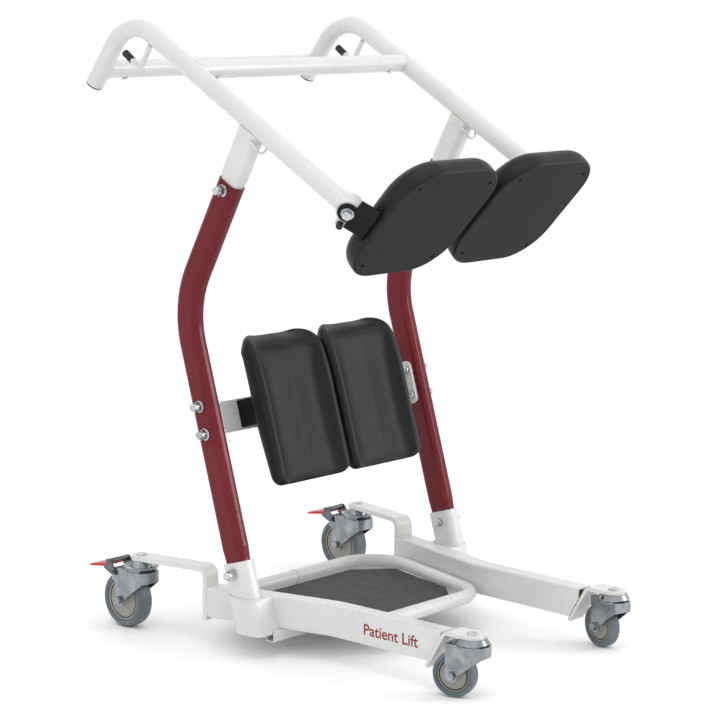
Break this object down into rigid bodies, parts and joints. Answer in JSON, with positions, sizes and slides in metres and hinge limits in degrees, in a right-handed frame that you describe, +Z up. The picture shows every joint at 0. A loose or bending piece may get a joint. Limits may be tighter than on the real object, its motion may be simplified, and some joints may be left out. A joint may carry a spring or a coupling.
{
  "type": "sit to stand lift",
  "caption": "Rolling standing aid: splayed base with foot platform, bent uprights with shin pads, long arms joined by crossbars, and two padded seats that swing aside.",
  "frame": {"origin": "middle of the object's outline, on the floor", "axes": "+Z up, +X towards the user's left as they face the crossbars, +Y towards the caregiver's side, where the crossbars and braked casters are"},
  "size_m": [0.6262, 0.8526, 1.0739],
  "materials": {
    "white_enamel": "gloss",
    "maroon_enamel": "gloss",
    "zinc_plate": "satin",
    "black_enamel": "satin",
    "galvanised_sheet": "matt",
    "dark_lever": "satin",
    "red_pedal": "satin",
    "black_rubber": "matt",
    "pad_foam": "matt",
    "pad_board": "matt",
    "tyre_grey": "matt",
    "hub_grey": "satin"
  },
  "bodies": {
    "frame": {"leg_left": "white_enamel", "leg_right": "white_enamel", "post_socket_left": "white_enamel", "post_socket_right": "white_enamel", "rear_caster_arm_left": "white_enamel", "rear_caster_arm_right": "white_enamel", "front_caster_plate_left": "white_enamel", "front_caster_plate_right": "white_enamel", "arm_left": "white_enamel", "arm_right": "white_enamel", "platform_hoop": "white_enamel", "arm_necks": "white_enamel", "crossbar_stubs": "white_enamel", "crossbar_front": "white_enamel", "crossbar_rear": "white_enamel", "knee_beam": "white_enamel", "accessory_hooks": "white_enamel", "base_cross_tube": "white_enamel", "post_left": "maroon_enamel", "post_right": "maroon_enamel", "caster_stems": "zinc_plate", "caster_races": "zinc_plate", "frame_bolts": "zinc_plate", "frame_nuts": "zinc_plate", "crossbar_screws": "zinc_plate", "seat_pivot_bolts": "zinc_plate", "knee_pad_rail": "black_enamel", "platform_pan": "galvanised_sheet", "platform_mat": "black_rubber", "seat_stops": "black_rubber", "hook_caps": "black_rubber", "handle_plugs": "black_rubber", "knee_pad_left": "pad_foam", "knee_pad_right": "pad_foam"},
    "seat_left": {"seat_bracket_left": "black_enamel", "seat_board_left": "pad_board", "seat_cushion_left": "pad_foam"},
    "rear_swivel_left": {"rear_fork_left": "zinc_plate", "rear_axle_left": "zinc_plate"},
    "rear_wheel_left": {"rear_tyre_left": "tyre_grey", "rear_hub_left": "hub_grey"},
    "brake_left": {"brake_pedal_left": "red_pedal", "brake_lever_left": "dark_lever"},
    "front_swivel_left": {"front_fork_left": "zinc_plate", "front_axle_left": "zinc_plate"},
    "front_wheel_left": {"front_tyre_left": "tyre_grey", "front_hub_left": "hub_grey"},
    "seat_right": {"seat_bracket_right": "black_enamel", "seat_board_right": "pad_board", "seat_cushion_right": "pad_foam"},
    "rear_swivel_right": {"rear_fork_right": "zinc_plate", "rear_axle_right": "zinc_plate"},
    "rear_wheel_right": {"rear_tyre_right": "tyre_grey", "rear_hub_right": "hub_grey"},
    "brake_right": {"brake_pedal_right": "red_pedal", "brake_lever_right": "dark_lever"},
    "front_swivel_right": {"front_fork_right": "zinc_plate", "front_axle_right": "zinc_plate"},
    "front_wheel_right": {"front_tyre_right": "tyre_grey", "front_hub_right": "hub_grey"}
  },
  "joints": [
    {"name": "rear_swivel_turn_left", "type": "hinge", "parent": "frame", "child": "rear_swivel_left", "pos_m": [-0.2812, 0.2854, 0.118], "axis": [0, 0, 1], "continuous": true},
    {"name": "rear_wheel_spin_left", "type": "hinge", "parent": "rear_swivel_left", "child": "rear_wheel_left", "pos_m": [-0.2812, 0.3224, 0.05], "axis": [1, 0, 0], "continuous": true},
    {"name": "brake_press_left", "type": "hinge", "parent": "rear_swivel_left", "child": "brake_left", "pos_m": [-0.2812, 0.3344, 0.1], "axis": [-1, 0, 0], "range_deg": [0, 14]},
    {"name": "front_swivel_turn_left", "type": "hinge", "parent": "frame", "child": "front_swivel_left", "pos_m": [-0.1885, -0.4014, 0.095], "axis": [0, 0, 1], "continuous": true},
    {"name": "front_wheel_spin_left", "type": "hinge", "parent": "front_swivel_left", "child": "front_wheel_left", "pos_m": [-0.19626, -0.37242, 0.0375], "axis": [0.9659, 0.2588, 0], "continuous": true},
    {"name": "seat_swing_left", "type": "hinge", "parent": "frame", "child": "seat_left", "pos_m": [-0.267, -0.202, 0.782], "axis": [-0.7431, -0.487, -0.4589], "range_deg": [0, 125]},
    {"name": "rear_swivel_turn_right", "type": "hinge", "parent": "frame", "child": "rear_swivel_right", "pos_m": [0.2812, 0.2854, 0.118], "axis": [0, 0, 1], "continuous": true},
    {"name": "rear_wheel_spin_right", "type": "hinge", "parent": "rear_swivel_right", "child": "rear_wheel_right", "pos_m": [0.2812, 0.3224, 0.05], "axis": [1, 0, 0], "continuous": true},
    {"name": "brake_press_right", "type": "hinge", "parent": "rear_swivel_right", "child": "brake_right", "pos_m": [0.2812, 0.3344, 0.1], "axis": [-1, 0, 0], "range_deg": [0, 14]},
    {"name": "front_swivel_turn_right", "type": "hinge", "parent": "frame", "child": "front_swivel_right", "pos_m": [0.1885, -0.4014, 0.095], "axis": [0, 0, 1], "continuous": true},
    {"name": "front_wheel_spin_right", "type": "hinge", "parent": "front_swivel_right", "child": "front_wheel_right", "pos_m": [0.19626, -0.37242, 0.0375], "axis": [0.9659, -0.2588, 0], "continuous": true},
    {"name": "seat_swing_right", "type": "hinge", "parent": "frame", "child": "seat_right", "pos_m": [0.267, -0.202, 0.782], "axis": [-0.7431, 0.487, 0.4589], "range_deg": [0, 125]}
  ]
}
